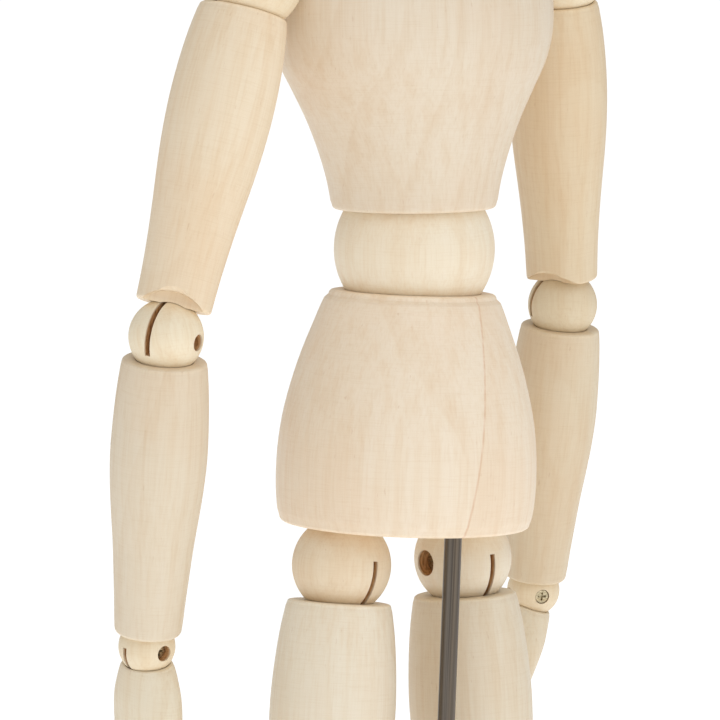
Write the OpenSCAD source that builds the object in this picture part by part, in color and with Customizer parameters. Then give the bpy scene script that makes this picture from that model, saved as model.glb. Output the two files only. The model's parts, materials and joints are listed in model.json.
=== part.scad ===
// Jointed wooden drawing mannequin on a rod stand.
// The figure faces -Y, its left side is +X and +Z is up.
// The origin is the centre of the underside of the base.
// Every joint is a wooden ball with a saw slot: a steel strap turns in the slot on a cross screw,
// and a steel stud on the other side of the ball lets the next wooden piece twist.
// Extension springs inside the pieces pull the balls into their cups.

/* [Stand] */
// Diameter of the round base
base_d = 150; // [130:1:200]
// Thickness of the base
base_h = 20; // [14:1:30]
// Diameter of the upright rod
rod_d = 5; // [4:0.5:5]
// Distance of the rod behind the middle of the figure
rod_back = 23; // [22:0.5:24]
// Gap between the soles and the top of the base
sole_gap = 16; // [15:1:40]

/* [Trunk] */
// Distance from the middle to each hip joint
hip_x = 22; // [22:0.5:23]
// Height of the pelvis block
pelvis_h = 67; // [64:0.5:72]
// Widest diameter of the pelvis block
pelvis_d = 75.6; // [75:0.5:78]
// Height of the chest block
chest_h = 87.5; // [86:0.5:89]
// Width of the chest block
chest_w = 90; // [88:0.5:90]
// Depth of the chest block
chest_d = 68; // [62:0.5:70]
// Distance from the middle to each shoulder joint
shoulder_x = 58.5; // [58.5:0.5:60]
// Height of the shoulder joints above the waist joint
shoulder_up = 78.5; // [78:0.5:80]
// Height of the head
head_h = 62; // [56:1:68]

/* [Limbs] */
// Distance from shoulder joint to elbow joint
upper_arm_l = 102; // [98:0.5:110]
// Distance from elbow joint to wrist joint
forearm_l = 89.5; // [86:0.5:96]
// Distance from hip joint to knee joint
thigh_l = 117; // [112:1:124]
// Distance from knee joint to ankle joint
shin_l = 111; // [106:1:118]
// Widest diameter of the upper arm
upper_arm_d = 29.2; // [28:0.2:29.2]
// Widest diameter of the forearm
forearm_d = 27; // [26:0.5:27]
// Widest diameter of the thigh
thigh_d = 36; // [34:0.5:36.5]
// Widest diameter of the shin
shin_d = 30; // [29:0.5:31]

/* [Pose at rest] */
// Lean of the chest towards the figure's left
chest_lean = 3; // [0:0.5:5]
// Turn of the chest on the waist
chest_turn = 5; // [-5:0.5:8]
// Forward swing of the left and right arm
arm_swing = [1.5, 6]; // [-5:0.5:10]
// Sideways raise of the left and right arm from the chest
arm_raise = [17, 7.5]; // [3:0.5:20]
// Twist of the left and right upper arm about its length
arm_twist = [137, 110]; // [0:1:150]
// Turn of the left and right elbow strap in its upper arm
elbow_turn = [-25, -42]; // [-60:1:60]
// Bend of the left and right elbow
elbow_bend = [-20.5, 7.5]; // [-22:0.5:20]
// Turn of the left and right hand on its forearm
hand_turn = [159, -1]; // [-20:1:180]
// Bend of the left and right hand at its wrist
hand_bend = [6, 14]; // [-20:1:30]
// Turn of the left and right leg in its hip
hip_turn = [6, 0]; // [-10:1:10]
// Outward lean of both legs
leg_spread = 4; // [0:0.5:5]
// Forward swing of the left and right leg
leg_swing = [-2.5, -3.5]; // [-10:0.5:5]

/* [Hidden] */

wood = [0.93, 0.86, 0.75];
ball_wood = [0.90, 0.82, 0.69];
steel = [0.70, 0.69, 0.67];
dark_steel = [0.38, 0.36, 0.33];

// Index of each side in the pose lists, and the side's sign along X
left = 0;
right = 1;
function side_sign(side) = side == left ? 1 : -1;

// Joint sizes: ball radius, screw head radius, screw radius, strap eye radius, slot width, screw head depth
waist_joint = [23.1, 3.6, 2, 4.6, 2.4, 2.2];
neck_joint = [10, 2.1, 1.2, 2.8, 1.7, 1.8];
shoulder_joint = [14.5, 3.2, 1.6, 3.6, 1.9, 2.2];
elbow_joint = [10.4, 2.1, 1.2, 2.8, 1.7, 3.6];
hip_joint = [14.2, 3.5, 1.6, 3.6, 1.7, 4.2];
knee_joint = [12.6, 2.6, 1.4, 3.1, 1.8, 2.2];
ankle_joint = [9.5, 2.1, 1.2, 2.6, 1.6, 1.8];
// The right wrist's screw is nearly flush and the left one sits deeper
function wrist_joint(side) = [8, 2, 1, 2.3, 1.5, side == left ? 2.6 : 0.7];
function ball_r(joint) = joint[0];
function head_r(joint) = joint[1];
function screw_r(joint) = joint[2];
function eye_r(joint) = joint[3];
function slot_w(joint) = joint[4];
function head_sink(joint) = joint[5];

// Distance from each joint's centre to the wooden faces next to it
waist_faces = [11.7, 12.3];
neck_faces = [5, 6.5];
shoulder_face = 9.7;
elbow_faces = [8.4, 6.7];
wrist_faces = [3.8, 5];
hip_faces = [11, 10.5];
knee_faces = [10, 7.6];
ankle_faces = [5, 6];

// Clearances
cup_gap = 0.2;
thread_gap = 0.03;
pin_gap = 0.1;
strap_gap = 0.25;

// Steel fittings shared by every joint
bore_r = 4.1;
stem_r = 1.1;
button_r = 2;
button_h = 1.2;
spring_r = 3.8;
spring_inner_r = 2.35;
spring_lip = 1;
coil_pitch = 2;
head_t = 1.4;
stem_out = 8;
rim_edge = 0.9;
wrist_edge = 1.7;
notch_gap = 0.3;
notch_inset = 1.2;
notch_flare = 0.9;

// Heights
ankle_up = 20;
hip_z = base_h + sole_gap + ankle_up + shin_l + thigh_l;
pelvis_z = hip_z + hip_faces[0];
waist_z = pelvis_z + pelvis_h + waist_faces[1];
neck_up = waist_faces[0] + chest_h + neck_faces[1];
shoulder_y = -2;
rod_sink = 16;
rod_grip = 30;

// Outlines as [fraction of length from the top, fraction of widest radius]
upper_arm_keys = [[0, 0.85], [0.1, 0.935], [0.21, 0.985], [0.32, 1], [0.43, 0.98], [0.54, 0.93],
    [0.65, 0.862], [0.76, 0.8], [0.88, 0.75], [1, 0.725]];
forearm_keys = [[0, 0.875], [0.13, 0.952], [0.31, 1], [0.43, 0.978], [0.54, 0.922], [0.66, 0.844],
    [0.78, 0.785], [0.9, 0.733], [1, 0.7]];
thigh_keys = [[0, 0.83], [0.08, 0.905], [0.15, 0.95], [0.24, 0.987], [0.34, 1], [0.5, 0.965],
    [0.68, 0.88], [0.84, 0.79], [1, 0.735]];
shin_keys = [[0, 0.87], [0.12, 0.955], [0.27, 1], [0.42, 0.965], [0.58, 0.86], [0.75, 0.745],
    [0.9, 0.675], [1, 0.65]];
pelvis_keys = [[0, 0.64], [0.06, 0.69], [0.13, 0.738], [0.27, 0.831], [0.41, 0.905], [0.55, 0.96],
    [0.69, 0.988], [0.82, 0.992], [0.92, 0.98], [1, 0.957]];
base_keys = [[0, 0.965], [0.18, 0.99], [0.45, 1], [1, 1]];

// Sections of the chest as [fraction of height, of half width, of half depth]
chest_keys = [[0, 0.524, 0.694], [0.091, 0.56, 0.728], [0.183, 0.62, 0.775], [0.286, 0.71, 0.838],
    [0.389, 0.828, 0.91], [0.48, 0.935, 0.968], [0.583, 0.993, 1], [0.697, 1, 0.982],
    [0.8, 0.991, 0.912], [0.88, 0.933, 0.794], [0.937, 0.811, 0.662], [0.978, 0.622, 0.529],
    [1, 0.356, 0.412]];
// Sections of the head as [height, half width, half depth, shift in Y], as fractions of its height
head_keys = [[0, 0.197, 0.21, 0], [0.065, 0.252, 0.281, -0.015], [0.177, 0.306, 0.355, -0.035],
    [0.339, 0.348, 0.41, -0.039], [0.516, 0.368, 0.435, -0.016], [0.694, 0.352, 0.416, 0.013],
    [0.839, 0.284, 0.335, 0.034], [0.944, 0.177, 0.21, 0.045], [1, 0.048, 0.058, 0.047]];
// Sections of the hand and thumb as [height, half width, half depth, shift in X, shift in Y]
hand_keys = [[-63, 2.5, 1.6, 1, -1.5], [-60, 5.8, 3, 0.8, -1.2], [-52, 9, 4.2, 0.5, -0.6],
    [-42, 11.5, 5, 0.2, 0], [-32, 12.8, 5.9, 0, 0.2], [-22, 12.8, 6.9, 0, 0.2], [-15, 11.8, 7.6, 0, 0.1],
    [-9, 9.8, 7.4, 0, 0], [-5, 8, 6.9, 0, 0]];
thumb_keys = [[-34, 1.6, 1.5, 0, 0], [-31, 3.4, 3, 0, 0], [-24, 4.4, 3.8, 0, 0], [-14, 4.6, 4.2, 0, 0],
    [-4, 4, 4, 0, 0], [0, 2, 2, 0, 0]];

// ---- Curves and solids ----

function key_at(keys, i) = keys[max(0, min(len(keys) - 1, i))];
function curve_point(a, b, c, d, t) =
    (2 * b + (c - a) * t + (2 * a - 5 * b + 4 * c - d) * pow(t, 2)
        + (3 * b - a - 3 * c + d) * pow(t, 3)) / 2;
// Smooth curve through every key
function curve(keys, steps) = [
    for (i = [0:len(keys) - 2], s = [0:steps - 1])
        curve_point(key_at(keys, i - 1), keys[i], keys[i + 1], key_at(keys, i + 2), s / steps),
    keys[len(keys) - 1]
];
// Quarter round of radius e about a corner centre, between two angles
function edge_arc(x, z, e, from, to) = [
    for (a = [from:(to - from) / 4:to]) [x + e * cos(a), z + e * sin(a)]
];

// Turned wood from z = 0 down to z = -length, with rounded rims
module turned(keys, length, radius, edge, end_edge) {
    outline = [for (p = curve(keys, 3)) [p[1] * radius, -p[0] * length]];
    top_r = top_r(keys, 2 * radius);
    end_r = end_r(keys, 2 * radius);
    rotate_extrude($fn = 128)
        polygon(concat(
            [[0, 0]],
            edge_arc(top_r - edge, -edge, edge, 90, 0),
            [for (p = outline) if (p[1] < -edge - 0.5 && p[1] > end_edge + 0.5 - length) p],
            edge_arc(end_r - end_edge, end_edge - length, end_edge, 0, -90),
            [[0, -length]]
        ));
}

// Closed skin over elliptical sections, lowest section first
module loft(keys, steps, sides) {
    rings = curve(keys, steps);
    last = len(rings) - 1;
    points = [for (g = rings, i = [0:sides - 1])
        [g[3] + g[1] * cos(360 * i / sides), g[4] + g[2] * sin(360 * i / sides), g[0]]];
    skin = [for (k = [0:last - 1], i = [0:sides - 1])
        let (a = k * sides + i, b = k * sides + (i + 1) % sides)
        each [[a, a + sides, b + sides], [a, b + sides, b]]];
    polyhedron(points, concat(
        [[for (i = [0:sides - 1]) i]],
        skin,
        [[for (i = [sides - 1:-1:0]) last * sides + i]]
    ));
}

// ---- Joint fittings: the screw lies along X and the slot opens towards +Z ----

// Direction at an angle from +Z towards -Y, and a point along it set off sideways
function slot_point(angle, along, off) = [
    -sin(angle) * along - cos(angle) * off,
    cos(angle) * along - sin(angle) * off
];

// Saw slot that lets the strap turn from one angle to the other
module slot(joint, from, to) {
    far = 2 * ball_r(joint);
    half = strap_half(joint) + strap_gap;
    steps = 4;
    rotate([90, 0, 90])
        linear_extrude(slot_w(joint), center = true)
            polygon(concat(
                [slot_point(from, 0, -half), slot_point(from, far, -half)],
                [for (i = [1:steps - 1]) slot_point(from + (to - from) * i / steps, far, 0)],
                [slot_point(to, far, half), slot_point(to, 0, half)]
            ));
    rotate([0, 90, 0])
        cylinder(r = eye_r(joint) + 2 * strap_gap, h = slot_w(joint), center = true, $fn = 48);
}

// Wooden ball with its slot, screw hole and stud hole
module ball(joint, from, to, head_side) {
    r = ball_r(joint);
    seat = r - head_sink(joint) - head_t;
    color(ball_wood)
        difference() {
            sphere(r = r, $fn = 128);
            slot(joint, from, to);
            rotate([0, 90 * head_side, 0]) {
                translate([0, 0, -0.8 * r])
                    cylinder(r = screw_r(joint) + thread_gap, h = 0.8 * r + seat + 1, $fn = 48);
                translate([0, 0, seat]) cylinder(r = head_r(joint) + strap_gap, h = r, $fn = 48);
            }
            translate([0, 0, -2 * r])
                cylinder(r = stem_r + thread_gap, h = 2 * r - stud_top(joint), $fn = 48);
        }
}

// Distance from the ball's centre to the inner end of the stud
function stud_top(joint) = eye_r(joint) + 1.4;
function strap_half(joint) = 0.8 * eye_r(joint);
function strap_t(joint) = slot_w(joint) - 2 * strap_gap;
// Distance from the joint's centre to the swivel button
function reach(joint) = ball_r(joint) + stem_out;

// Cross screw with a cross recess in its head
module screw(joint, head_side) {
    r = ball_r(joint);
    top = r - head_sink(joint);
    recess = 1.3 * head_r(joint);
    color(steel)
        rotate([0, 90 * head_side, 0])
            difference() {
                union() {
                    translate([0, 0, 0.5 - 0.8 * r])
                        cylinder(r = screw_r(joint), h = 0.8 * r + top - head_t, $fn = 48);
                    translate([0, 0, top - head_t]) cylinder(r = head_r(joint), h = head_t, $fn = 48);
                }
                for (turn = [0, 90])
                    rotate([0, 0, turn])
                        translate([-recess / 2, -0.3, top - 0.8]) cube([recess, 0.6, 1]);
            }
}

// Stud out of the ball towards -Z, ending in a swivel button
module stud(joint) {
    color(steel) {
        translate([0, 0, -reach(joint)])
            cylinder(r = stem_r, h = reach(joint) - stud_top(joint) - 0.1, $fn = 48);
        translate([0, 0, -reach(joint) - button_h]) cylinder(r = button_r, h = button_h, $fn = 48);
    }
}

// Strap out of the slot towards +Z, ending in a swivel button
module strap(joint) {
    t = strap_t(joint);
    half = strap_half(joint);
    blade = ball_r(joint) + 1.5;
    color(steel)
        difference() {
            union() {
                rotate([0, 90, 0]) cylinder(r = eye_r(joint), h = t, center = true, $fn = 48);
                translate([-t / 2, -half, 0]) cube([t, 2 * half, blade]);
                translate([0, 0, blade - 1])
                    cylinder(r = stem_r, h = reach(joint) - blade + 1, $fn = 48);
                translate([0, 0, reach(joint)]) cylinder(r = button_r, h = button_h, $fn = 48);
            }
            rotate([0, 90, 0])
                cylinder(r = screw_r(joint) + pin_gap, h = 4 * t, center = true, $fn = 48);
        }
}

// Close-wound spring along Z whose end lips hook over the outer faces of swivel buttons at two heights
module spring(low, high) {
    bottom = low - spring_lip - 0.2;
    top = high + spring_lip + 0.2;
    coils = floor((top - bottom) / coil_pitch);
    pitch = (top - bottom) / coils;
    hole_r = stem_r + 0.25;
    color(steel)
        rotate_extrude($fn = 64)
            polygon(concat(
                [[hole_r, bottom + spring_lip], [hole_r, bottom]],
                [for (i = [0:coils - 1], k = [0, 1])
                    [spring_r - 0.6 + 0.6 * k, bottom + pitch * (i + k / 2)]],
                [[spring_r - 0.6, top], [hole_r, top], [hole_r, top - spring_lip]],
                [[spring_inner_r, top - spring_lip], [spring_inner_r, bottom + spring_lip]]
            ));
}

// Short spring on a stud that points towards -Z
module stud_spring(joint, length) {
    spring(-reach(joint) - length, -reach(joint));
}

// ---- Wooden limbs: the upper joint is at the origin and the limb hangs towards -Z ----

// Flared groove in the outside of a limb's end, which clears the rim of the next piece when it bends:
// face is the rim's distance from the joint, and the angle turns the groove round the limb
module notch(rim_r, face, limb_r, angle) {
    groove_r = rim_r + notch_gap;
    rotate([0, 0, angle])
        rotate([90, 0, 0]) {
            translate([0, 0, face - notch_inset]) cylinder(r = groove_r, h = limb_r, $fn = 96);
            translate([0, 0, limb_r - notch_flare])
                cylinder(r1 = groove_r, r2 = groove_r + 3 * notch_flare, h = 3 * notch_flare, $fn = 96);
        }
}
function top_r(keys, widest) = keys[0][1] * widest / 2;
function end_r(keys, widest) = keys[len(keys) - 1][1] * widest / 2;

module limb(keys, length, widest, joint, face, end_joint, end_face, end_edge) {
    difference() {
        translate([0, 0, -face]) turned(keys, length - face - end_face, widest / 2, rim_edge, end_edge);
        sphere(r = ball_r(joint) + cup_gap, $fn = 128);
        translate([0, 0, -length]) sphere(r = ball_r(end_joint) + cup_gap, $fn = 128);
        translate([0, 0, -length]) cylinder(r = bore_r, h = length, $fn = 48);
    }
}

// ---- Frames: each puts its children at a joint, in the pose at rest ----

module at_waist() {
    translate([0, 0, waist_z]) rotate([0, 0, -90]) children();
}
module at_waist_strap() {
    at_waist() rotate([-chest_lean, 0, 0]) children();
}
module at_chest() {
    at_waist_strap() rotate([0, 0, 90 + chest_turn]) children();
}
module at_neck() {
    at_chest() translate([0, 0, neck_up]) children();
}
module at_shoulder(side) {
    at_chest()
        translate([side_sign(side) * shoulder_x, shoulder_y, shoulder_up])
            rotate([-arm_swing[side], 0, 0]) children();
}
module at_shoulder_strap(side) {
    at_shoulder(side) rotate([0, -side_sign(side) * arm_raise[side], 0]) children();
}
module at_upper_arm(side) {
    at_shoulder_strap(side) rotate([0, 0, arm_twist[side]]) children();
}
module at_elbow_strap(side) {
    at_upper_arm(side) translate([0, 0, -upper_arm_l]) rotate([0, 0, elbow_turn[side]]) children();
}
module at_elbow(side) {
    at_elbow_strap(side) rotate([-elbow_bend[side], 0, 0]) children();
}
module at_wrist(side) {
    at_elbow(side) translate([0, 0, -forearm_l]) rotate([0, 0, hand_turn[side]]) children();
}
module at_hand(side) {
    at_wrist(side) rotate([-hand_bend[side], 0, 0]) children();
}
module at_hip(side) {
    translate([side_sign(side) * hip_x, 0, hip_z])
        rotate([0, -side_sign(side) * leg_spread, 0]) rotate([0, 0, hip_turn[side]]) children();
}
module at_thigh(side) {
    at_hip(side) rotate([-leg_swing[side], 0, 0]) children();
}
module at_knee(side) {
    at_thigh(side) translate([0, 0, -thigh_l]) children();
}
module at_ankle(side) {
    at_knee(side) translate([0, 0, -shin_l]) children();
}
module at_foot(side) {
    at_ankle(side) rotate([leg_swing[side], 0, 0]) children();
}

// ---- Stand ----

module base() {
    color(wood)
        difference() {
            translate([0, 0, base_h])
                turned(base_keys, base_h, base_d / 2, 1.5, 1.5);
            translate([0, rod_back, base_h - rod_sink])
                cylinder(r = rod_d / 2 + thread_gap, h = base_h, $fn = 48);
        }
}
module rod() {
    bottom = base_h - rod_sink + 0.1;
    top = pelvis_z + rod_grip - 0.3;
    color(dark_steel)
        translate([0, rod_back, bottom]) {
            cylinder(r = rod_d / 2, h = top - bottom - 0.8, $fn = 48);
            translate([0, 0, top - bottom - 0.8])
                cylinder(r1 = rod_d / 2, r2 = rod_d / 2 - 0.8, h = 0.8, $fn = 48);
        }
}

// ---- Trunk ----

module pelvis() {
    color(wood)
        difference() {
            translate([0, 0, pelvis_z + pelvis_h]) turned(pelvis_keys, pelvis_h, pelvis_d / 2, 1.4, 1.4);
            translate([0, 0, waist_z]) sphere(r = ball_r(waist_joint) + cup_gap, $fn = 128);
            translate([0, 0, waist_z - reach(waist_joint) - 15])
                cylinder(r = bore_r, h = reach(waist_joint), $fn = 48);
            for (side = [left, right])
                at_hip(side) {
                    sphere(r = ball_r(hip_joint) + cup_gap, $fn = 128);
                    cylinder(r = bore_r, h = reach(hip_joint) + 15, $fn = 48);
                }
            translate([0, rod_back, pelvis_z - 1])
                cylinder(r = rod_d / 2 + 0.08, h = rod_grip + 1, $fn = 48);
        }
}
module waist_ball() {
    at_waist() ball(waist_joint, -28, 28, 1);
}
module waist_hardware() {
    at_waist() {
        screw(waist_joint, 1);
        stud(waist_joint);
        stud_spring(waist_joint, 9);
    }
}
module waist_strap() {
    at_waist_strap() {
        strap(waist_joint);
        spring(reach(waist_joint), reach(waist_joint) + 9);
    }
}
module chest() {
    keys = [for (k = chest_keys) [k[0] * chest_h, k[1] * chest_w / 2, k[2] * chest_d / 2, 0, 0]];
    color(wood)
        at_chest()
            difference() {
                translate([0, 0, waist_faces[0]]) loft(keys, 2, 44);
                sphere(r = ball_r(waist_joint) + cup_gap, $fn = 128);
                cylinder(r = bore_r, h = reach(waist_joint) + 15, $fn = 48);
                for (s = [-1, 1])
                    translate([s * shoulder_x, shoulder_y, shoulder_up]) {
                        sphere(r = ball_r(shoulder_joint) + cup_gap, $fn = 128);
                        rotate([0, -90 * s, 0])
                            cylinder(r = bore_r, h = reach(shoulder_joint) + 15, $fn = 48);
                    }
                translate([0, 0, neck_up]) {
                    sphere(r = ball_r(neck_joint) + cup_gap, $fn = 128);
                    translate([0, 0, -reach(neck_joint) - 12])
                        cylinder(r = bore_r, h = reach(neck_joint) + 12, $fn = 48);
                }
            }
}
module neck_ball() {
    at_neck() ball(neck_joint, -30, 30, 1);
}
module neck_hardware() {
    at_neck() {
        screw(neck_joint, 1);
        stud(neck_joint);
        stud_spring(neck_joint, 8);
    }
}
module head() {
    keys = head_h * [for (k = head_keys) [k[0], k[1], k[2], 0, k[3]]];
    color(wood)
        at_neck()
            difference() {
                translate([0, 0, neck_faces[0]]) loft(keys, 2, 40);
                sphere(r = ball_r(neck_joint) + cup_gap, $fn = 128);
                cylinder(r = bore_r, h = reach(neck_joint) + 4, $fn = 48);
            }
}
module head_strap() {
    at_neck() strap(neck_joint);
}

// ---- Arms ----

module shoulder_ball(side) {
    at_shoulder(side)
        rotate([90, 0, 90 * side_sign(side)]) ball(shoulder_joint, -58, 92, -side_sign(side));
}
module shoulder_hardware(side) {
    at_shoulder(side)
        rotate([90, 0, 90 * side_sign(side)]) {
            screw(shoulder_joint, -side_sign(side));
            stud(shoulder_joint);
            stud_spring(shoulder_joint, 9);
        }
}
module shoulder_strap(side) {
    at_shoulder_strap(side) rotate([180, 0, 90]) strap(shoulder_joint);
}
module upper_arm(side) {
    color(wood)
        at_upper_arm(side)
            difference() {
                limb(upper_arm_keys, upper_arm_l, upper_arm_d, shoulder_joint, shoulder_face,
                    elbow_joint, elbow_faces[0], rim_edge);
                translate([0, 0, -upper_arm_l])
                    notch(top_r(forearm_keys, forearm_d), elbow_faces[1],
                        end_r(upper_arm_keys, upper_arm_d), 0);
            }
}
module elbow_strap(side) {
    at_elbow_strap(side) {
        strap(elbow_joint);
        spring(reach(elbow_joint), upper_arm_l - reach(shoulder_joint));
    }
}
module elbow_ball(side) {
    at_elbow(side) ball(elbow_joint, -24, 97, side_sign(side));
}
module elbow_hardware(side) {
    at_elbow(side) {
        screw(elbow_joint, side_sign(side));
        stud(elbow_joint);
        spring(reach(wrist_joint(side)) - forearm_l, -reach(elbow_joint));
    }
}
module forearm(side) {
    color(wood)
        at_elbow(side)
            limb(forearm_keys, forearm_l, forearm_d, elbow_joint, elbow_faces[1],
                wrist_joint(side), wrist_faces[0], wrist_edge);
}
module wrist_ball(side) {
    at_wrist(side) rotate([180, 0, 0]) ball(wrist_joint(side), -80, 80, -side_sign(side));
}
module wrist_hardware(side) {
    at_wrist(side)
        rotate([180, 0, 0]) {
            screw(wrist_joint(side), -side_sign(side));
            stud(wrist_joint(side));
        }
}
module hand(side) {
    color(wood)
        at_hand(side)
            mirror([side == left ? 0 : 1, 0, 0])
                difference() {
                    union() {
                        loft(hand_keys, 2, 32);
                        translate([7.8, -1, -14]) rotate([-8, -20, 0]) loft(thumb_keys, 2, 20);
                    }
                    sphere(r = ball_r(wrist_joint(side)) + cup_gap, $fn = 96);
                    translate([0, 0, -reach(wrist_joint(side)) - 3])
                        cylinder(r = 2.6, h = reach(wrist_joint(side)), $fn = 48);
                }
}
module hand_strap(side) {
    at_hand(side) rotate([180, 0, 0]) strap(wrist_joint(side));
}

// ---- Legs ----

module hip_ball(side) {
    at_hip(side) rotate([180, 0, 0]) ball(hip_joint, -88, 88, -side_sign(side));
}
module hip_hardware(side) {
    at_hip(side)
        rotate([180, 0, 0]) {
            screw(hip_joint, -side_sign(side));
            stud(hip_joint);
            stud_spring(hip_joint, 9);
        }
}
module hip_strap(side) {
    at_thigh(side) rotate([180, 0, 0]) strap(hip_joint);
}
module thigh(side) {
    color(wood)
        at_thigh(side)
            difference() {
                limb(thigh_keys, thigh_l, thigh_d, hip_joint, hip_faces[1],
                    knee_joint, knee_faces[0], rim_edge);
                translate([0, 0, -thigh_l])
                    notch(top_r(shin_keys, shin_d), knee_faces[1], end_r(thigh_keys, thigh_d), 180);
            }
}
module knee_strap(side) {
    at_thigh(side) {
        translate([0, 0, -thigh_l]) strap(knee_joint);
        spring(reach(knee_joint) - thigh_l, -reach(hip_joint));
    }
}
module knee_ball(side) {
    at_knee(side) rotate([0, 0, 180]) ball(knee_joint, -8, 90, side_sign(side));
}
module knee_hardware(side) {
    at_knee(side)
        rotate([0, 0, 180]) {
            screw(knee_joint, side_sign(side));
            stud(knee_joint);
            spring(reach(ankle_joint) - shin_l, -reach(knee_joint));
        }
}
module shin(side) {
    color(wood)
        at_knee(side)
            limb(shin_keys, shin_l, shin_d, knee_joint, knee_faces[1],
                ankle_joint, ankle_faces[0], rim_edge);
}
module ankle_ball(side) {
    at_ankle(side) rotate([180, 0, 0]) ball(ankle_joint, -48, 48, -side_sign(side));
}
module ankle_hardware(side) {
    at_ankle(side)
        rotate([180, 0, 0]) {
            screw(ankle_joint, -side_sign(side));
            stud(ankle_joint);
        }
}
// Foot block: a collar under the ankle ball, a heel and a broad flat-soled front
module foot_block() {
    heel_y = 9;
    toe_y = -46;
    intersection() {
        hull() {
            translate([0, 0, -ankle_faces[1] - 3]) cylinder(r = 10.4, h = 3, $fn = 32);
            translate([0, heel_y, 9 - ankle_up]) sphere(r = 10.5, $fn = 32);
            translate([0, -30, 6 - ankle_up]) scale([1.25, 1.1, 0.75]) sphere(r = 11, $fn = 32);
            translate([0, toe_y, 3 - ankle_up]) scale([1.2, 1, 0.7]) sphere(r = 10, $fn = 32);
        }
        translate([-25, -70, -ankle_up]) cube([50, 100, ankle_up - ankle_faces[1]]);
    }
}
module foot(side) {
    color(wood)
        at_foot(side)
            difference() {
                foot_block();
                sphere(r = ball_r(ankle_joint) + cup_gap, $fn = 96);
                translate([0, 0, -reach(ankle_joint) - 1.5])
                    cylinder(r = 2.6, h = reach(ankle_joint), $fn = 48);
            }
}
module foot_strap(side) {
    at_foot(side) rotate([180, 0, 0]) strap(ankle_joint);
}

base();
rod();
pelvis();
waist_ball();
waist_hardware();
waist_strap();
chest();
neck_ball();
neck_hardware();
head();
head_strap();
shoulder_ball(left);  // left_shoulder_ball
shoulder_ball(right);  // right_shoulder_ball
shoulder_hardware(left);  // left_shoulder_hardware
shoulder_hardware(right);  // right_shoulder_hardware
shoulder_strap(left);  // left_shoulder_strap
shoulder_strap(right);  // right_shoulder_strap
upper_arm(left);  // left_upper_arm
upper_arm(right);  // right_upper_arm
elbow_strap(left);  // left_elbow_strap
elbow_strap(right);  // right_elbow_strap
elbow_ball(left);  // left_elbow_ball
elbow_ball(right);  // right_elbow_ball
elbow_hardware(left);  // left_elbow_hardware
elbow_hardware(right);  // right_elbow_hardware
forearm(left);  // left_forearm
forearm(right);  // right_forearm
wrist_ball(left);  // left_wrist_ball
wrist_ball(right);  // right_wrist_ball
wrist_hardware(left);  // left_wrist_hardware
wrist_hardware(right);  // right_wrist_hardware
hand(left);  // left_hand
hand(right);  // right_hand
hand_strap(left);  // left_hand_strap
hand_strap(right);  // right_hand_strap
hip_ball(left);  // left_hip_ball
hip_ball(right);  // right_hip_ball
hip_hardware(left);  // left_hip_hardware
hip_hardware(right);  // right_hip_hardware
hip_strap(left);  // left_hip_strap
hip_strap(right);  // right_hip_strap
thigh(left);  // left_thigh
thigh(right);  // right_thigh
knee_strap(left);  // left_knee_strap
knee_strap(right);  // right_knee_strap
knee_ball(left);  // left_knee_ball
knee_ball(right);  // right_knee_ball
knee_hardware(left);  // left_knee_hardware
knee_hardware(right);  // right_knee_hardware
shin(left);  // left_shin
shin(right);  // right_shin
ankle_ball(left);  // left_ankle_ball
ankle_ball(right);  // right_ankle_ball
ankle_hardware(left);  // left_ankle_hardware
ankle_hardware(right);  // right_ankle_hardware
foot(left);  // left_foot
foot(right);  // right_foot
foot_strap(left);  // left_foot_strap
foot_strap(right);  // right_foot_strap
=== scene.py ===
"""Looks for a jointed wooden drawing mannequin on a steel rod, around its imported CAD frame."""

import json
import math

import bpy
import bmesh
from mathutils import Matrix, Vector


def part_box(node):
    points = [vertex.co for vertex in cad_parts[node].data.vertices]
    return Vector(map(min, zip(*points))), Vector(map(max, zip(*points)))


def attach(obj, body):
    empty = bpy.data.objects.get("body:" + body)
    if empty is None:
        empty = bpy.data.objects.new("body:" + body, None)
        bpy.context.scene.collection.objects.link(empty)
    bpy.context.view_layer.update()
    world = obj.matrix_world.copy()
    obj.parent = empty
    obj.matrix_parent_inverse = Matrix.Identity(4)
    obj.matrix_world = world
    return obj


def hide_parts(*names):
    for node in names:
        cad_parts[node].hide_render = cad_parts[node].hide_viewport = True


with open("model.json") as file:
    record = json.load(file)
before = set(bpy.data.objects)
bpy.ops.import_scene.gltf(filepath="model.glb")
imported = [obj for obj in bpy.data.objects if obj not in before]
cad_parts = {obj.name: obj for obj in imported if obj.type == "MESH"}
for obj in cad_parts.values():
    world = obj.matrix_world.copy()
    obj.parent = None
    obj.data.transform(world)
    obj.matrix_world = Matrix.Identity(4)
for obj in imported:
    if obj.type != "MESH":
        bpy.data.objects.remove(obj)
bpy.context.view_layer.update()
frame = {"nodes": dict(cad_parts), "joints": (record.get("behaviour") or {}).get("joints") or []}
nodes = frame["nodes"]
joints = {j["name"]: j for j in frame["joints"]}
scene = bpy.context.scene
SIDES = ("left", "right")
MM = 0.001
FAR = 1000.0  # millimetres: a place outside every piece


def linear(red, green, blue):
    """Scene colour of an sRGB colour given as 0-255."""
    return tuple(
        c / 255 / 12.92 if c < 11 else ((c / 255 + 0.055) / 1.055) ** 2.4
        for c in (red, green, blue))


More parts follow.
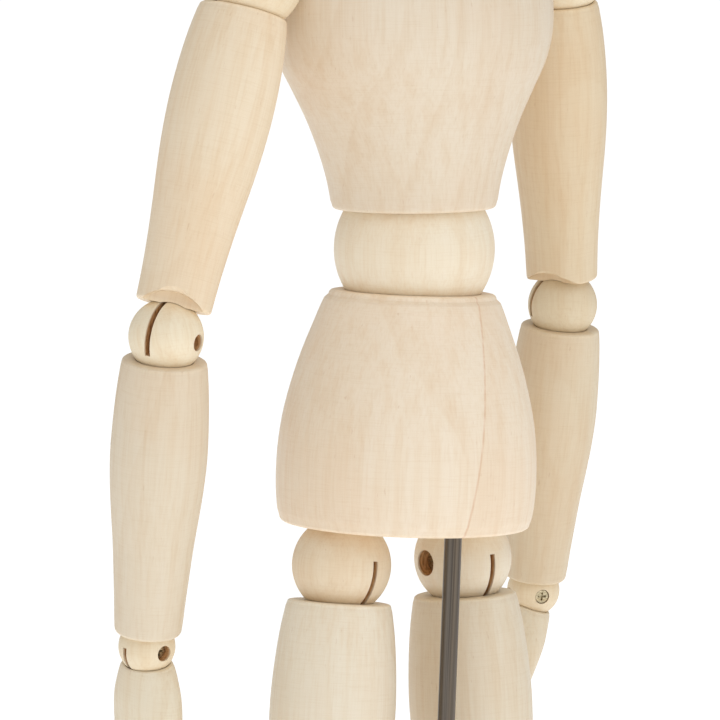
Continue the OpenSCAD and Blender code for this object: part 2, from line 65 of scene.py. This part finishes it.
# ---------------------------------------------------------------- camera, light and floor
def add_camera():
    """The photograph's view: from behind the figure's left side, with a slight tilt."""
    azimuth, elevation, roll = math.radians(143.02), math.radians(4.60), math.radians(2.06)
    distance, focal_px = 1.229, 4276.75
    target = Vector((0.0115, -0.0087, 0.3417))
    back = Vector((
        math.sin(azimuth) * math.cos(elevation),
        -math.cos(azimuth) * math.cos(elevation),
        math.sin(elevation),
    ))
    right = (-back).cross(Vector((0, 0, 1))).normalized()
    up = right.cross(-back)
    tilted_right = right * math.cos(roll) + up * math.sin(roll)
    tilted_up = up * math.cos(roll) - right * math.sin(roll)
    data = bpy.data.cameras.new("view")
    data.sensor_width = 36
    data.lens = 36 * focal_px / 720
    data.clip_start = 0.05
    camera = bpy.data.objects.new("view", data)
    axes = Matrix((tilted_right, tilted_up, back)).transposed().to_4x4()
    camera.matrix_world = Matrix.Translation(target + distance * back) @ axes
    scene.collection.objects.link(camera)
    scene.camera = camera
    return back, right, up


def add_area_light(name, place, look_at, size, power, colour=(1, 1, 1)):
    data = bpy.data.lights.new(name, "AREA")
    data.size = size
    data.energy = power
    data.color = colour
    lamp = bpy.data.objects.new(name, data)
    lamp.location = place
    lamp.rotation_euler = (Vector(look_at) - Vector(place)).to_track_quat("-Z", "Y").to_euler()
    scene.collection.objects.link(lamp)


def add_world():
    """White background; the light it gives is a little weaker than it looks."""
    world = bpy.data.worlds.new("studio")
    world.use_nodes = True
    tree = world.node_tree
    background = tree.nodes["Background"]
    background.inputs["Color"].default_value = (1, 1, 1, 1)
    path = tree.nodes.new("ShaderNodeLightPath")
    strength = tree.nodes.new("ShaderNodeMapRange")
    strength.inputs["To Min"].default_value = 0.5
    strength.inputs["To Max"].default_value = 1.05
    tree.links.new(path.outputs["Is Camera Ray"], strength.inputs["Value"])
    tree.links.new(strength.outputs["Result"], background.inputs["Strength"])
    scene.world = world


def add_studio(back, right, up):
    """A pale floor and background, and soft light from every side."""
    add_world()
    scene.view_settings.view_transform = "Standard"
    scene.view_settings.look = "None"
    mesh = bpy.data.meshes.new("floor")
    builder = bmesh.new()
    bmesh.ops.create_circle(builder, cap_ends=True, segments=64, radius=6)
    builder.to_mesh(mesh)
    builder.free()
    floor = bpy.data.objects.new("floor", mesh)
    scene.collection.objects.link(floor)
    paint = bpy.data.materials.new("floor_paint")
    paint.use_nodes = True
    shader = paint.node_tree.nodes["Principled BSDF"]
    shader.inputs["Base Color"].default_value = (0.85, 0.85, 0.85, 1)
    shader.inputs["Roughness"].default_value = 0.9
    shader.inputs["Specular IOR Level"].default_value = 0
    shader.inputs["Emission Color"].default_value = (1, 1, 1, 1)
    shader.inputs["Emission Strength"].default_value = 0.68
    mesh.materials.append(paint)
    centre = Vector((0, 0, 0.32))
    above = centre + back * 0.9 + right * 0.2 + up * 0.9
    beside = centre + back * 0.6 + right * 1.0 + up * 0.1
    add_area_light("key", above, centre, 1.1, 4.2, (1, 0.99, 0.99))
    add_area_light("fill", beside, centre, 1.2, 1.55, (1, 0.985, 0.96))


# ---------------------------------------------------------------- wood
class Tree:
    """Short ways to add nodes to a material or group."""

    def __init__(self, tree):
        self.tree = tree

    def put(self, socket, value):
        if isinstance(value, bpy.types.NodeSocket):
            self.tree.links.new(value, socket)
        elif hasattr(value, "__len__") and socket.type == "RGBA" and len(value) == 3:
            socket.default_value = (*value, 1)
        else:
            socket.default_value = value

    def add(self, kind, output=0, settings=None, **inputs):
        node = self.tree.nodes.new(kind)
        for key, value in (settings or {}).items():
            setattr(node, key, value)
        for key, value in inputs.items():
            self.put(node.inputs[key.replace("_", " ")], value)
        return node.outputs[output]

    def math(self, operation, *values):
        node = self.tree.nodes.new("ShaderNodeMath")
        node.operation = operation
        for socket, value in zip(node.inputs, values):
            self.put(socket, value)
        return node.outputs[0]

    def vector(self, operation, first, second=(0, 0, 0), output=0):
        node = self.tree.nodes.new("ShaderNodeVectorMath")
        node.operation = operation
        self.put(node.inputs[0], first)
        self.put(node.inputs[1], second)
        return node.outputs[output]

    def ramp(self, value, low, high, to_low=0.0, to_high=1.0):
        return self.add("ShaderNodeMapRange", settings={"interpolation_type": "SMOOTHSTEP"}, Value=value,
                        From_Min=low, From_Max=high, To_Min=to_low, To_Max=to_high)

    def noise(self, place, scale, detail=2.0, roughness=0.5):
        return self.add("ShaderNodeTexNoise", Vector=place, Scale=scale, Detail=detail, Roughness=roughness)

    def mix(self, factor, first, second, blend="MIX"):
        node = self.tree.nodes.new("ShaderNodeMix")
        node.data_type = "RGBA"
        node.blend_type = blend
        for name, value in (("Factor_Float", factor), ("A_Color", first), ("B_Color", second)):
            self.put(next(s for s in node.inputs if s.identifier == name), value)
        return next(s for s in node.outputs if s.identifier == "Result_Color")


def wood_group():
    """Pale sanded hardwood. Place is in millimetres, with the grain along Z."""
    group = bpy.data.node_groups.new("wood", "ShaderNodeTree")
    side = group.interface
    for name, kind in (("Place", "Vector"), ("Tint", "Color"), ("Seed", "Float"), ("Ball", "Float"),
                       ("Low end", "Float"), ("High end", "Float"), ("Heart line", "Float")):
        side.new_socket(name, in_out="INPUT", socket_type="NodeSocket" + kind)
    for name, kind in (("Colour", "Color"), ("Roughness", "Float"), ("Height", "Float")):
        side.new_socket(name, in_out="OUTPUT", socket_type="NodeSocket" + kind)
    t = Tree(group)
    given = group.nodes.new("NodeGroupInput").outputs
    place = given["Place"]
    shift = t.add("ShaderNodeCombineXYZ", X=t.math("MULTIPLY", given["Seed"], 17.3),
                  Y=t.math("MULTIPLY", given["Seed"], -9.1), Z=t.math("MULTIPLY", given["Seed"], 31.7))
    seeded = t.vector("ADD", place, shift)

    # growth rings round a pith that runs beside the piece at a slight angle
    along = t.add("ShaderNodeSeparateXYZ", 2, Vector=place)
    tilt = t.add("ShaderNodeCombineXYZ", X=t.math("MULTIPLY", along, 0.16),
                 Y=t.math("MULTIPLY", along, -0.1), Z=0.0)
    pith = t.add("ShaderNodeCombineXYZ", X=t.math("MULTIPLY_ADD", t.math("SINE", given["Seed"]), 14.0, 5.0),
                 Y=t.math("MULTIPLY_ADD", t.math("COSINE", given["Seed"]), 16.0, -4.0), Z=0.0)
    slow = t.vector("MULTIPLY", seeded, (1, 1, 0.35))
    wander = t.math("MULTIPLY", t.math("SUBTRACT", t.noise(slow, 0.03, 1.5), 0.5), 18.0)
    from_pith = t.vector("ADD", t.vector("ADD", place, tilt), pith)
    flat = t.vector("MULTIPLY", from_pith, (1, 1, 0))
    radius = t.math("ADD", t.vector("LENGTH", flat, output=1), wander)
    year = t.math("FRACT", t.math("DIVIDE", radius, 15.0))
    late = t.math("MULTIPLY", t.ramp(year, 0.62, 0.97), t.ramp(year, 1.0, 0.97))

    # long fibres, short flecks and slow changes of tone
    fine = t.noise(t.vector("MULTIPLY", seeded, (1.6, 1.6, 0.05)), 1.0, 4.0, 0.6)
    bands = t.noise(t.vector("MULTIPLY", seeded, (0.3, 0.3, 0.007)), 1.0, 3.0, 0.6)
    specks = t.noise(t.vector("MULTIPLY", seeded, (1.3, 1.3, 0.24)), 1.0, 2.0, 0.5)
    fleck = t.ramp(specks, 0.69, 0.78)
    blotch = t.noise(seeded, 0.028, 2.0)
    turning = t.noise(t.vector("MULTIPLY", place, (0.03, 0.03, 2.6)), 1.0, 3.0, 0.6)
    scratches = t.noise(t.vector("MULTIPLY", seeded, (0.12, 0.12, 3.4)), 1.0, 2.0, 0.7)

    def shade(under, amount, tone):
        return t.mix(amount, under, t.mix(1.0, under, tone, "MULTIPLY"))

    colour = given["Tint"]
    colour = shade(colour, t.ramp(blotch, 0.38, 0.68, 0.0, 0.55), (0.98, 0.92, 0.87))
    colour = shade(colour, t.math("MULTIPLY", late, 0.2), (0.91, 0.82, 0.72))
    colour = shade(colour, t.ramp(bands, 0.45, 0.66, 0.0, 0.5), (0.95, 0.89, 0.82))
    colour = shade(colour, t.ramp(bands, 0.46, 0.30, 0.0, 0.4), (1.02, 1.04, 1.08))
    colour = shade(colour, t.ramp(fine, 0.42, 0.74, 0.0, 0.3), (0.88, 0.80, 0.70))
    colour = shade(colour, t.ramp(scratches, 0.46, 0.72, 0.0, 0.4), (0.93, 0.89, 0.83))
    colour = shade(colour, t.math("MULTIPLY", fleck, 0.28), (0.70, 0.52, 0.38))

    # edge of the heartwood: a thin reddish line with a warmer side that fades out
    across = t.add("ShaderNodeSeparateXYZ", 0, Vector=from_pith)
    heart = t.math("ADD", t.math("SUBTRACT", given["Heart line"], across), t.math("MULTIPLY", wander, 0.2))
    warm = t.math("MULTIPLY", t.ramp(heart, -0.2, 0.2), t.ramp(heart, 16.0, 0.0))
    colour = shade(colour, t.math("MULTIPLY", warm, 0.3), (0.93, 0.84, 0.76))
    line = t.ramp(t.math("ABSOLUTE", heart), 0.55, 0.1)
    colour = shade(colour, t.math("MULTIPLY", line, t.ramp(fine, 0.3, 0.6, 0.3, 0.7)), (0.86, 0.70, 0.60))

    # painted highlight on the rims at both ends, and painted shade in the saw slots and drill holes inside
    # a ball
    above_low = t.math("SUBTRACT", along, given["Low end"])
    below_high = t.math("SUBTRACT", given["High end"], along)
    near_end = t.math("MINIMUM", above_low, below_high)
    # painted highlight: the colour turns paler within about a millimetre and a half of either end
    rim = t.ramp(t.math("ADD", near_end, t.math("MULTIPLY", fine, 0.5)), 1.5, 0.6)
    colour = shade(colour, t.math("MULTIPLY", rim, 0.6), (1.1, 1.11, 1.1))
    # painted shade: wood below the ball's surface, on the walls of slots and holes, turns dark brown
    depth = t.math("SUBTRACT", given["Ball"], t.vector("LENGTH", place, output=1))
    painted_recess_shade = t.mix(t.ramp(specks, 0.3, 0.7), linear(222, 176, 124), linear(170, 122, 76))
    colour = t.mix(t.ramp(depth, 0.15, 0.9), colour, painted_recess_shade)

    result = group.nodes.new("NodeGroupOutput")
    t.put(result.inputs["Colour"], colour)
    grain_and_rim_roughness = t.math("ADD", fine, t.math("MULTIPLY", rim, -0.2))
    t.put(result.inputs["Roughness"], t.ramp(grain_and_rim_roughness, 0.2, 0.8, 0.42, 0.66))
    grain = t.math("ADD", t.math("MULTIPLY", fine, 0.5), t.math("MULTIPLY", turning, 0.5))
    t.put(result.inputs["Height"], t.math("SUBTRACT", grain, t.math("MULTIPLY", fleck, 0.25)))
    return group


def grain_axes(axis):
    """Rotation whose Z is the grain direction."""
    z = Vector(axis).normalized()
    x = z.orthogonal().normalized() if abs(z.z) < 0.5 else (Vector((0, 1, 0)).cross(z)).normalized()
    return Matrix((x, z.cross(x), z)).transposed()


def wood_material(name, obj, origin, axis, tint, seed, ball=0.0, heart=-FAR):
    """Wood fixed to one piece. Origin and axis give its middle line at rest, and ball a ball's radius."""
    axes = grain_axes(axis)
    turn = axes.transposed()
    heights = [(turn @ (v.co - Vector(origin))).z / MM for v in obj.data.vertices]
    material = bpy.data.materials.new(name)
    material.use_nodes = True
    t = Tree(material.node_tree)
    where = material.node_tree.nodes.new("ShaderNodeMapping")
    coords = t.add("ShaderNodeTexCoord", 3)
    t.put(where.inputs["Vector"], coords)
    where.inputs["Scale"].default_value = (1000, 1000, 1000)
    where.inputs["Rotation"].default_value = turn.to_euler()
    where.inputs["Location"].default_value = -(turn @ Vector(origin)) / MM
    grain = material.node_tree.nodes.new("ShaderNodeGroup")
    grain.node_tree = WOOD
    settings = {
        "Place": where.outputs[0],
        "Tint": linear(*tint),
        "Seed": seed,
        "Ball": ball or -FAR,
        "Low end": -FAR if ball else min(heights),
        "High end": FAR if ball else max(heights),
        "Heart line": heart,
    }
    for key, value in settings.items():
        t.put(grain.inputs[key], value)
    shader = material.node_tree.nodes["Principled BSDF"]
    t.put(shader.inputs["Base Color"], grain.outputs["Colour"])
    t.put(shader.inputs["Roughness"], grain.outputs["Roughness"])
    t.put(shader.inputs["Specular IOR Level"], 0.32)
    bump = t.add("ShaderNodeBump", Strength=0.35, Distance=0.0002, Height=grain.outputs["Height"])
    t.put(shader.inputs["Normal"], bump)
    return material


def steel_material(name, dark, pale, streak, roughness):
    """Plated or drawn steel with fine marks; streak squeezes the marks along each axis."""
    material = bpy.data.materials.new(name)
    material.use_nodes = True
    t = Tree(material.node_tree)
    place = t.vector("MULTIPLY", t.add("ShaderNodeTexCoord", 3), streak)
    marks = t.noise(place, 1.0, 4.0, 0.65)
    stain = t.noise(t.vector("MULTIPLY", place, (0.1, 0.1, 0.3)), 1.0, 2.0)
    shader = material.node_tree.nodes["Principled BSDF"]
    colour = t.mix(t.ramp(marks, 0.3, 0.7), linear(*dark), linear(*pale))
    straw = t.mix(1.0, colour, (0.86, 0.74, 0.58), "MULTIPLY")
    colour = t.mix(t.ramp(stain, 0.45, 0.7, 0.0, 0.5), colour, straw)
    t.put(shader.inputs["Base Color"], colour)
    shader.inputs["Metallic"].default_value = 0.92
    t.put(shader.inputs["Roughness"], t.ramp(marks, 0.2, 0.8, roughness - 0.08, roughness + 0.12))
    t.put(shader.inputs["Normal"], t.add("ShaderNodeBump", Strength=0.25, Distance=0.00005, Height=marks))
    return material


def dress(obj, material):
    obj.data.materials.clear()
    obj.data.materials.append(material)


# ---------------------------------------------------------------- smooth carved pieces
# Radii in millimetres: each ball with its clearance, and the bores behind the cups
CUP = {"waist": 23.3, "neck": 10.2, "shoulder": 14.7, "wrist": 8.2, "ankle": 9.7}
SPRING_BORE = 4.1
STRAP_BORE = 2.6


def curve_through(keys, steps):
    """Smooth curve through every key, as a list of tuples."""
    last = len(keys) - 1
    points = []
    for i in range(last):
        near = [keys[max(0, min(last, k))] for k in (i - 1, i, i + 1, i + 2)]
        for step in range(steps):
            u = step / steps
            points.append(tuple(
                (2 * b + (c - a) * u + (2 * a - 5 * b + 4 * c - d) * u ** 2
                 + (3 * b - a - 3 * c + d) * u ** 3) / 2
                for a, b, c, d in zip(*near)))
    return points + [tuple(keys[-1])]


def rounded(sections, low_edge, high_edge):
    """Rounds the first and last section of a loft, in millimetres."""
    def arc(section, edge, inward):
        z, w, d, x, y = section
        points = []
        for angle in (90, 72, 54, 36, 18, 0):
            a = math.radians(angle)
            back = edge * (1 - math.cos(a))
            points.append((z + inward * edge * (1 - math.sin(a)), w - back, d - back, x, y))
        return points

    low = sections[0]
    high = sections[-1]
    middle = [s for s in sections if low[0] + low_edge * 1.2 < s[0] < high[0] - high_edge * 1.2]
    return arc(low, low_edge, 1) + middle + arc(high, high_edge, -1)[::-1]


def loft_mesh(sections, sides):
    """Closed skin over elliptical sections (height, half width, half depth, shift in X, shift in Y)."""
    bm = bmesh.new()
    rings = []
    turns = [2 * math.pi * i / sides for i in range(sides)]
    for z, w, d, x, y in sections:
        rings.append([bm.verts.new((x + w * math.cos(a), y + d * math.sin(a), z)) for a in turns])
    for low, high in zip(rings, rings[1:]):
        for i in range(sides):
            bm.faces.new((low[i], low[(i + 1) % sides], high[(i + 1) % sides], high[i]))
    bm.faces.new(rings[0][::-1])
    bm.faces.new(rings[-1])
    return bm


def ball_cutter(place, radius):
    bm = bmesh.new()
    bmesh.ops.create_uvsphere(bm, u_segments=96, v_segments=64, radius=radius,
                              matrix=Matrix.Translation(place))
    return bm


def bore_cutter(low, high, radius, high_radius=None):
    """Cylinder or cone between two points."""
    low, high = Vector(low), Vector(high)
    axis = high - low
    place = Matrix.Translation((low + high) / 2) @ axis.to_track_quat("Z", "Y").to_matrix().to_4x4()
    bm = bmesh.new()
    bmesh.ops.create_cone(bm, cap_ends=True, segments=96, radius1=radius, radius2=high_radius or radius,
                          depth=axis.length, matrix=place)
    return bm


def carve(name, body, cutters, at, joined=()):
    """A mesh in millimetres with joined ones added and cutters taken away, placed by the matrix at."""
    made = []
    for index, bm in enumerate([body, *joined, *cutters]):
        mesh = bpy.data.meshes.new(f"{name}_{index}")
        bmesh.ops.recalc_face_normals(bm, faces=bm.faces)
        bm.to_mesh(mesh)
        bm.free()
        obj = bpy.data.objects.new(f"{name}_{index}", mesh)
        scene.collection.objects.link(obj)
        made.append(obj)
    for index, cutter in enumerate(made[1:]):
        cut = made[0].modifiers.new("cut", "BOOLEAN")
        cut.operation = "UNION" if index < len(joined) else "DIFFERENCE"
        cut.solver = "EXACT"
        cut.object = cutter
    depsgraph = bpy.context.evaluated_depsgraph_get()
    mesh = bpy.data.meshes.new_from_object(made[0].evaluated_get(depsgraph))
    for obj in made:
        bpy.data.objects.remove(obj)
    mesh.transform(at @ Matrix.Scale(MM, 4))
    mesh.shade_smooth()
    mesh.set_sharp_from_angle(angle=math.radians(32))
    mesh.name = name
    piece = bpy.data.objects.new(name, mesh)
    scene.collection.objects.link(piece)
    return piece


def place_at(origin, x, z):
    """Matrix of a frame with these X and Z directions."""
    z = Vector(z).normalized()
    y = z.cross(Vector(x)).normalized()
    return Matrix.Translation(origin) @ Matrix((y.cross(z), y, z)).transposed().to_4x4()


def stand_for(piece, node, body):
    """The piece takes the CAD node's place."""
    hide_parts(node)
    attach(piece, body)
    pieces[node] = piece


def add_chest():
    """Chest block, with a cup and a spring bore for each ball it meets."""
    low_face, height, half_width, half_depth = 11.7, 87.5, 45, 34
    neck = (0, 0, 105.7)
    keys = [(0, 0.524, 0.694), (0.091, 0.56, 0.728), (0.183, 0.62, 0.775), (0.286, 0.71, 0.838),
            (0.389, 0.828, 0.91), (0.48, 0.935, 0.968), (0.583, 0.993, 1), (0.697, 1, 0.982),
            (0.8, 0.991, 0.912), (0.88, 0.933, 0.794), (0.937, 0.811, 0.662), (0.978, 0.622, 0.529),
            (1, 0.356, 0.412)]
    sections = [(low_face + height * z, half_width * w, half_depth * d, 0, 0) for z, w, d in keys]
    body = loft_mesh(rounded(curve_through(sections, 8), 1.3, 0.8), 192)
    cuts = [ball_cutter((0, 0, 0), CUP["waist"]), bore_cutter((0, 0, 0), (0, 0, 46.1), SPRING_BORE),
            bore_cutter((0, 0, 11), (0, 0, 12.5), 21.2, 19.6),
            ball_cutter(neck, CUP["neck"]), bore_cutter((0, 0, 75.7), neck, SPRING_BORE)]
    for sign in (-1, 1):
        shoulder = (sign * 58.5, -2, 78.5)
        cuts.append(ball_cutter(shoulder, CUP["shoulder"]))
        cuts.append(bore_cutter((sign * 21, -2, 78.5), shoulder, SPRING_BORE))
    turn = joints["chest_turn"]
    at = place_at(turn["pos_m"], -Vector(joints["left_shoulder_swing"]["axis"]), turn["axis"])
    stand_for(carve("chest_wood", body, cuts, at), "chest", "chest")


def add_head():
    """Plain egg head, with its cup and spring bore."""
    low_face, height = 6.5, 62
    keys = [(0, 0.197, 0.21, 0), (0.065, 0.252, 0.281, -0.015), (0.177, 0.306, 0.355, -0.035),
            (0.339, 0.348, 0.41, -0.039), (0.516, 0.368, 0.435, -0.016), (0.694, 0.352, 0.416, 0.013),
            (0.839, 0.284, 0.335, 0.034), (0.944, 0.177, 0.21, 0.045), (1, 0.048, 0.058, 0.047)]
    sections = [(low_face + height * z, height * w, height * d, 0, height * y) for z, w, d, y in keys]
    body = loft_mesh(rounded(curve_through(sections, 8), 0.9, 0.6), 128)
    cuts = [ball_cutter((0, 0, 0), CUP["neck"]), bore_cutter((0, 0, 0), (0, 0, 22), SPRING_BORE)]
    turn = joints["neck_turn"]
    at = place_at(turn["pos_m"], joints["head_nod"]["axis"], turn["axis"])
    stand_for(carve("head_wood", body, cuts, at), "head", "head")


def add_hand(side, bend):
    """Mitten hand with a thumb; bend is the wrist's angle at rest."""
    hand_keys = [(-63, 2.5, 1.6, 1, -1.5), (-60, 5.8, 3, 0.8, -1.2), (-52, 9, 4.2, 0.5, -0.6),
                 (-42, 11.5, 5, 0.2, 0), (-32, 12.8, 5.9, 0, 0.2), (-22, 12.8, 6.9, 0, 0.2),
                 (-15, 11.8, 7.6, 0, 0.1), (-9, 9.8, 7.4, 0, 0), (-5, 8, 6.9, 0, 0)]
    thumb_keys = [(-34, 1.6, 1.5, 0, 0), (-31, 3.4, 3, 0, 0), (-24, 4.4, 3.8, 0, 0),
                  (-14, 4.6, 4.2, 0, 0), (-4, 4, 4, 0, 0), (0, 2, 2, 0, 0)]
    palm = loft_mesh(rounded(curve_through(hand_keys, 8), 1.1, 0.6), 96)
    thumb = loft_mesh(rounded(curve_through(thumb_keys, 6), 1.0, 1.2), 64)
    outward = Matrix.Rotation(math.radians(-20), 4, "Y") @ Matrix.Rotation(math.radians(-8), 4, "X")
    thumb_place = Matrix.Translation((7.8, -1, -14)) @ outward
    bmesh.ops.transform(thumb, matrix=thumb_place, verts=thumb.verts)
    if side == "right":
        for bm in (palm, thumb):
            bmesh.ops.transform(bm, matrix=Matrix.Diagonal((-1, 1, 1, 1)), verts=bm.verts)
    hinge = joints[f"{side}_hand_bend"]
    across = -Vector(hinge["axis"])
    forearm = Vector(joints[f"{side}_wrist_turn"]["axis"])
    along = Matrix.Rotation(math.radians(-bend), 3, across) @ forearm
    cuts = [ball_cutter((0, 0, 0), CUP["wrist"]), bore_cutter((0, 0, -19), (0, 0, -3), STRAP_BORE)]
    hand = carve(f"{side}_hand_wood", palm, cuts, place_at(hinge["pos_m"], across, along), [thumb])
    stand_for(hand, f"{side}_hand", f"{side}_hand")


def add_foot(side):
    """Foot block: the skin round a collar, a heel and a broad toe, cut flat above and below."""
    bm = bmesh.new()
    heel = ((0, 9, -11), (10.5, 10.5, 10.5))
    ball = ((0, -30, -14), (13.75, 12.1, 8.25))
    toes = ((0, -46, -17), (12, 10, 7))
    for place, size in (heel, ball, toes):
        bmesh.ops.create_uvsphere(bm, u_segments=72, v_segments=48, radius=1,
                                  matrix=Matrix.Translation(place) @ Matrix.Diagonal((*size, 1)))
    bmesh.ops.create_cone(bm, cap_ends=True, segments=96, radius1=10.4, radius2=10.4, depth=3,
                          matrix=Matrix.Translation((0, 0, -7.5)))
    skin = bmesh.new()
    for vertex in bm.verts:
        skin.verts.new(vertex.co)
    bm.free()
    hull = bmesh.ops.convex_hull(skin, input=skin.verts)
    inside = {v for v in hull["geom_interior"] + hull["geom_unused"] if isinstance(v, bmesh.types.BMVert)}
    bmesh.ops.delete(skin, geom=list(inside), context="VERTS")
    sole, top = (-20, -1), (-6, 1)
    for height, facing in (sole, top):
        whole = skin.verts[:] + skin.edges[:] + skin.faces[:]
        edge = bmesh.ops.bisect_plane(skin, geom=whole, dist=1e-5, plane_co=(0, 0, height),
                                      plane_no=(0, 0, facing), clear_outer=True)
        rim = [e for e in edge["geom_cut"] if isinstance(e, bmesh.types.BMEdge)]
        bmesh.ops.contextual_create(skin, geom=rim)
    cuts = [ball_cutter((0, 0, 0), CUP["ankle"]), bore_cutter((0, 0, -19), (0, 0, -2), STRAP_BORE)]
    hinge = joints[f"{side}_foot_bend"]
    at = place_at(hinge["pos_m"], -Vector(hinge["axis"]), joints[f"{side}_hip_turn"]["axis"])
    stand_for(carve(f"{side}_foot_wood", skin, cuts, at), f"{side}_foot", f"{side}_foot")


# ---------------------------------------------------------------- materials on every piece
def wooden_pieces():
    """Each wooden piece: a point on its middle line, its grain direction and its tint."""
    def at(joint, axis=None):
        return joints[joint]["pos_m"], axis or joints[joint]["axis"]

    middle = [(a + b) / 2 for a, b in zip(*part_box("pelvis"))]
    table = {
        "base": ((0, 0, 0.01), (1, 0.2, 0), TINTS["base"]),
        "pelvis": (middle, (0, 0, 1), TINTS["pelvis"]),
        "chest": (*at("chest_turn"), TINTS["chest"]),
        "head": (*at("neck_turn"), TINTS["head"]),
        "waist_ball": (*at("waist_turn", (0.06, 0.03, 1)), TINTS["waist_ball"]),
        "neck_ball": (*at("neck_turn", (0.1, 0.05, 1)), TINTS["ball"]),
    }
    along = {"upper_arm": "arm_twist", "forearm": "forearm_turn", "hand": "wrist_turn",
             "thigh": "leg_twist", "shin": "shin_turn", "foot": "ankle_turn"}
    balls = {"shoulder": "shoulder_swing", "elbow": "elbow_bend", "wrist": "wrist_turn",
             "hip": "hip_turn", "knee": "knee_bend", "ankle": "ankle_turn"}
    for side in SIDES:
        for part, joint in along.items():
            grain = (0, 1, 0.1) if part == "foot" else None
            name = f"{side}_{part}"
            table[name] = (*at(f"{side}_{joint}", grain), TINTS.get(name, TINTS["limb"]))
        for part, joint in balls.items():
            axis = joints[f"{side}_{joint}"]["axis"]
            name = f"{side}_{part}_ball"
            upright = (0.25 * axis[0], 0.2 * axis[1], 1)
            table[name] = (*at(f"{side}_{joint}", upright), TINTS.get(name, TINTS["ball"]))
    return table


def add_wood():
    for number, (name, (origin, axis, tint)) in enumerate(wooden_pieces().items()):
        radius = 0.0
        if name.endswith("_ball"):
            low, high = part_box(name)
            radius = max(b - a for a, b in zip(low, high)) / 2 / MM
        obj = pieces.get(name, nodes[name])
        heart = PELVIS_HEART if name == "pelvis" else -FAR
        dress(obj, wood_material(f"wood_{name}", obj, origin, axis, tint, number * 1.37, radius, heart))


def add_steel():
    fittings = steel_material("zinc_steel", (146, 132, 104), (214, 202, 170), (900, 900, 3500), 0.3)
    rod = steel_material("drawn_steel", (84, 78, 72), (122, 114, 105), (2600, 2600, 12), 0.34)
    for name, obj in nodes.items():
        if name == "rod":
            dress(obj, rod)
        elif name.endswith(("_hardware", "_strap")):
            dress(obj, fittings)


# Tints of the sanded wood, as 0-255 colours
TINTS = {
    "base": (228, 212, 184),
    "pelvis": (241, 226, 204),
    "chest": (228, 214, 193),
    "head": (230, 216, 192),
    "limb": (234, 221, 198),
    "ball": (236, 222, 194),
    "waist_ball": (241, 230, 208),
    "left_upper_arm": (237, 220, 193),
    "left_forearm": (226, 212, 189),
    "left_hand": (228, 216, 192),
    "right_upper_arm": (225, 207, 177),
    "right_forearm": (223, 208, 182),
    "right_hand": (228, 216, 192),
    "left_elbow_ball": (241, 229, 203),
    "right_elbow_ball": (225, 211, 183),
    "left_hip_ball": (233, 216, 189),
    "right_hip_ball": (234, 222, 200),
    "left_thigh": (235, 225, 205),
    "right_thigh": (228, 216, 194),
}
PELVIS_HEART = 19.0  # millimetres from the pith to the edge of the heartwood
HAND_BENDS = {"left": 6, "right": 14}  # degrees, as the hands are posed at rest
WOOD = wood_group()
pieces = {}

back, right, up = add_camera()
add_studio(back, right, up)
add_chest()
add_head()
for side in SIDES:
    add_hand(side, HAND_BENDS[side])
    add_foot(side)
add_wood()
add_steel()
